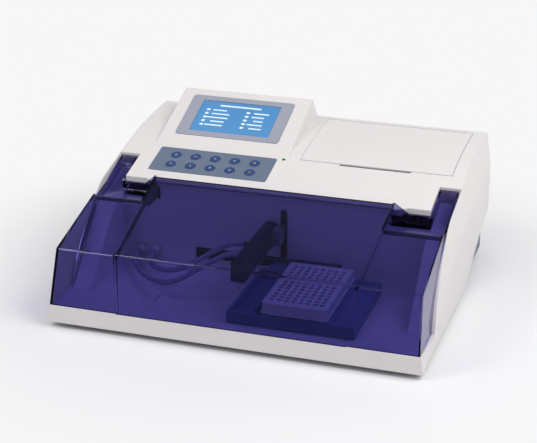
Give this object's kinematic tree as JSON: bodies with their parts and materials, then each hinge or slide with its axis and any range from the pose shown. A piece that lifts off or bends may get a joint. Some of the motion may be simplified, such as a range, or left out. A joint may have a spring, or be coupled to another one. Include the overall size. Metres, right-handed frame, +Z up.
{
  "type": "microplate washer",
  "caption": "Bench microplate washer with a tinted lift-up cover, a sliding plate carrier under a needle manifold, a screen pod, a keypad and a printer lid.",
  "frame": {"origin": "middle of the footprint, on the surface under the feet", "axes": "+X to the user's right, +Y from the front to the back, +Z up"},
  "size_m": [0.48, 0.421, 0.2037],
  "materials": {
    "housing_white": "light textured moulding",
    "cover_tint": "smooth tinted transparent moulding",
    "chassis_grey": "satin paint",
    "rubber_black": "matte",
    "screw_steel": "zinc plated",
    "chamber_white": "smooth moulding",
    "bezel_grey": "fine texture",
    "screen_blue": "smooth",
    "keypad_slate": "printed film",
    "key_blue": "satin",
    "board_green": "solder mask",
    "lamp_green": "clear",
    "pin_steel": "ground",
    "frame_black": "moulded",
    "platen_rubber": "matte",
    "paper_white": "paper",
    "carrier_blue": "moulded",
    "plate_clear": "moulded polystyrene",
    "bracket_alu": "machined",
    "belt_black": "matte",
    "motor_black": "satin paint",
    "head_dark": "dark anodised",
    "needle_steel": "polished",
    "port_white": "moulded",
    "tube_clear": "translucent silicone",
    "socket_black": "moulded",
    "supply_steel": "galvanised sheet",
    "pump_blue": "satin paint",
    "valve_grey": "moulded"
  },
  "bodies": {
    "housing": {"main_housing": "housing_white", "chassis_pan": "chassis_grey", "rubber_feet": "rubber_black", "chassis_screws": "screw_steel", "chamber_liner": "chamber_white", "wash_deck": "chamber_white", "hinge_pins": "pin_steel", "display_bezel": "bezel_grey", "screen": "screen_blue", "keypad_plate": "keypad_slate", "key_board": "board_green", "status_lamp": "lamp_green", "paper_pins": "pin_steel", "printer_frame": "frame_black", "guide_bars": "pin_steel", "bar_supports": "bracket_alu", "drive_belt": "belt_black", "idler_post": "bracket_alu", "traverse_motor": "motor_black", "motor_stand": "supply_steel", "lift_frame": "bracket_alu", "lift_rods": "pin_steel", "lift_motor": "motor_black", "port_plate": "port_white", "tube_ports": "port_white", "waste_tube": "tube_clear", "wash_tube": "tube_clear", "power_inlet": "socket_black", "switch_frame": "socket_black", "serial_socket": "supply_steel", "hose_barbs": "port_white", "power_supply": "supply_steel", "main_board": "board_green", "vacuum_pump": "pump_blue", "valve_block": "valve_grey"},
    "cover": {"cover": "cover_tint"},
    "paper_lid": {"paper_lid": "housing_white"},
    "platen_roller": {"platen_roller": "platen_rubber"},
    "paper_roll": {"paper_roll": "paper_white"},
    "carriage": {"plate_carrier": "carrier_blue", "carriage_bracket": "bracket_alu"},
    "microplate": {"microplate": "plate_clear"},
    "drive_pulley": {"drive_pulley": "bracket_alu"},
    "idler_pulley": {"idler_pulley": "bracket_alu"},
    "wash_head": {"wash_head": "head_dark", "lift_arm": "bracket_alu", "aspirate_needles": "needle_steel", "dispense_needles": "needle_steel"},
    "lift_screw": {"lift_screw": "pin_steel"},
    "switch_rocker": {"switch_rocker": "socket_black"},
    "key_1": {"key_1": "key_blue"},
    "key_2": {"key_2": "key_blue"},
    "key_3": {"key_3": "key_blue"},
    "key_4": {"key_4": "key_blue"},
    "key_5": {"key_5": "key_blue"},
    "key_6": {"key_6": "key_blue"},
    "key_7": {"key_7": "key_blue"},
    "key_8": {"key_8": "key_blue"},
    "key_9": {"key_9": "key_blue"},
    "key_10": {"key_10": "key_blue"}
  },
  "joints": [
    {"name": "cover_hinge", "type": "hinge", "parent": "housing", "child": "cover", "pos_m": [0, 0.0105, 0.1433], "axis": [-1, 0, 0], "range_deg": [0, 65]},
    {"name": "paper_lid_hinge", "type": "hinge", "parent": "housing", "child": "paper_lid", "pos_m": [0, 0.1814, 0.168], "axis": [-1, 0, 0], "range_deg": [0, 80]},
    {"name": "platen_turn", "type": "hinge", "parent": "housing", "child": "platen_roller", "pos_m": [0, 0.063, 0.145], "axis": [1, 0, 0], "continuous": true},
    {"name": "paper_roll_turn", "type": "hinge", "parent": "housing", "child": "paper_roll", "pos_m": [0, 0.1295, 0.135], "axis": [1, 0, 0], "continuous": true},
    {"name": "carriage_traverse", "type": "slide", "parent": "housing", "child": "carriage", "axis": [1, 0, 0], "range_m": [-0.1043, 0]},
    {"name": "plate_lift_off", "type": "slide", "parent": "carriage", "child": "microplate", "axis": [0, 0, 1], "range_m": [0, 0.026]},
    {"name": "drive_pulley_turn", "type": "hinge", "parent": "housing", "child": "drive_pulley", "pos_m": [0.138, 0.0145, 0.041], "axis": [0, 1, 0], "range_deg": [-700, 10]},
    {"name": "idler_pulley_turn", "type": "hinge", "parent": "housing", "child": "idler_pulley", "pos_m": [-0.14, 0.0145, 0.041], "axis": [0, 1, 0], "range_deg": [-700, 10]},
    {"name": "head_lift", "type": "slide", "parent": "housing", "child": "wash_head", "axis": [0, 0, 1], "range_m": [-0.014, 0], "deforming": ["waste_tube", "wash_tube"]},
    {"name": "lift_screw_turn", "type": "hinge", "parent": "housing", "child": "lift_screw", "pos_m": [0.015, 0.0475, 0.087], "axis": [0, 0, 1], "range_deg": [-640, 10]},
    {"name": "switch_rock", "type": "hinge", "parent": "housing", "child": "switch_rocker", "pos_m": [-0.128, 0.1892, 0.041], "axis": [1, 0, 0], "range_deg": [-14, 0]},
    {"name": "key_1_press", "type": "slide", "parent": "housing", "child": "key_1", "axis": [0, 0.2419, -0.9703], "range_m": [0, 0.0008], "stiffness_N_per_m": 800},
    {"name": "key_2_press", "type": "slide", "parent": "housing", "child": "key_2", "axis": [0, 0.2419, -0.9703], "range_m": [0, 0.0008], "stiffness_N_per_m": 800},
    {"name": "key_3_press", "type": "slide", "parent": "housing", "child": "key_3", "axis": [0, 0.2419, -0.9703], "range_m": [0, 0.0008], "stiffness_N_per_m": 800},
    {"name": "key_4_press", "type": "slide", "parent": "housing", "child": "key_4", "axis": [0, 0.2419, -0.9703], "range_m": [0, 0.0008], "stiffness_N_per_m": 800},
    {"name": "key_5_press", "type": "slide", "parent": "housing", "child": "key_5", "axis": [0, 0.2419, -0.9703], "range_m": [0, 0.0008], "stiffness_N_per_m": 800},
    {"name": "key_6_press", "type": "slide", "parent": "housing", "child": "key_6", "axis": [0, 0.2419, -0.9703], "range_m": [0, 0.0008], "stiffness_N_per_m": 800},
    {"name": "key_7_press", "type": "slide", "parent": "housing", "child": "key_7", "axis": [0, 0.2419, -0.9703], "range_m": [0, 0.0008], "stiffness_N_per_m": 800},
    {"name": "key_8_press", "type": "slide", "parent": "housing", "child": "key_8", "axis": [0, 0.2419, -0.9703], "range_m": [0, 0.0008], "stiffness_N_per_m": 800},
    {"name": "key_9_press", "type": "slide", "parent": "housing", "child": "key_9", "axis": [0, 0.2419, -0.9703], "range_m": [0, 0.0008], "stiffness_N_per_m": 800},
    {"name": "key_10_press", "type": "slide", "parent": "housing", "child": "key_10", "axis": [0, 0.2419, -0.9703], "range_m": [0, 0.0008], "stiffness_N_per_m": 800}
  ],
  "couplings": [
    {"joint": "drive_pulley_turn", "follows": "carriage_traverse", "rad_per_m": 114.94},
    {"joint": "idler_pulley_turn", "follows": "carriage_traverse", "rad_per_m": 114.94},
    {"joint": "lift_screw_turn", "follows": "head_lift", "rad_per_m": 785.4}
  ]
}
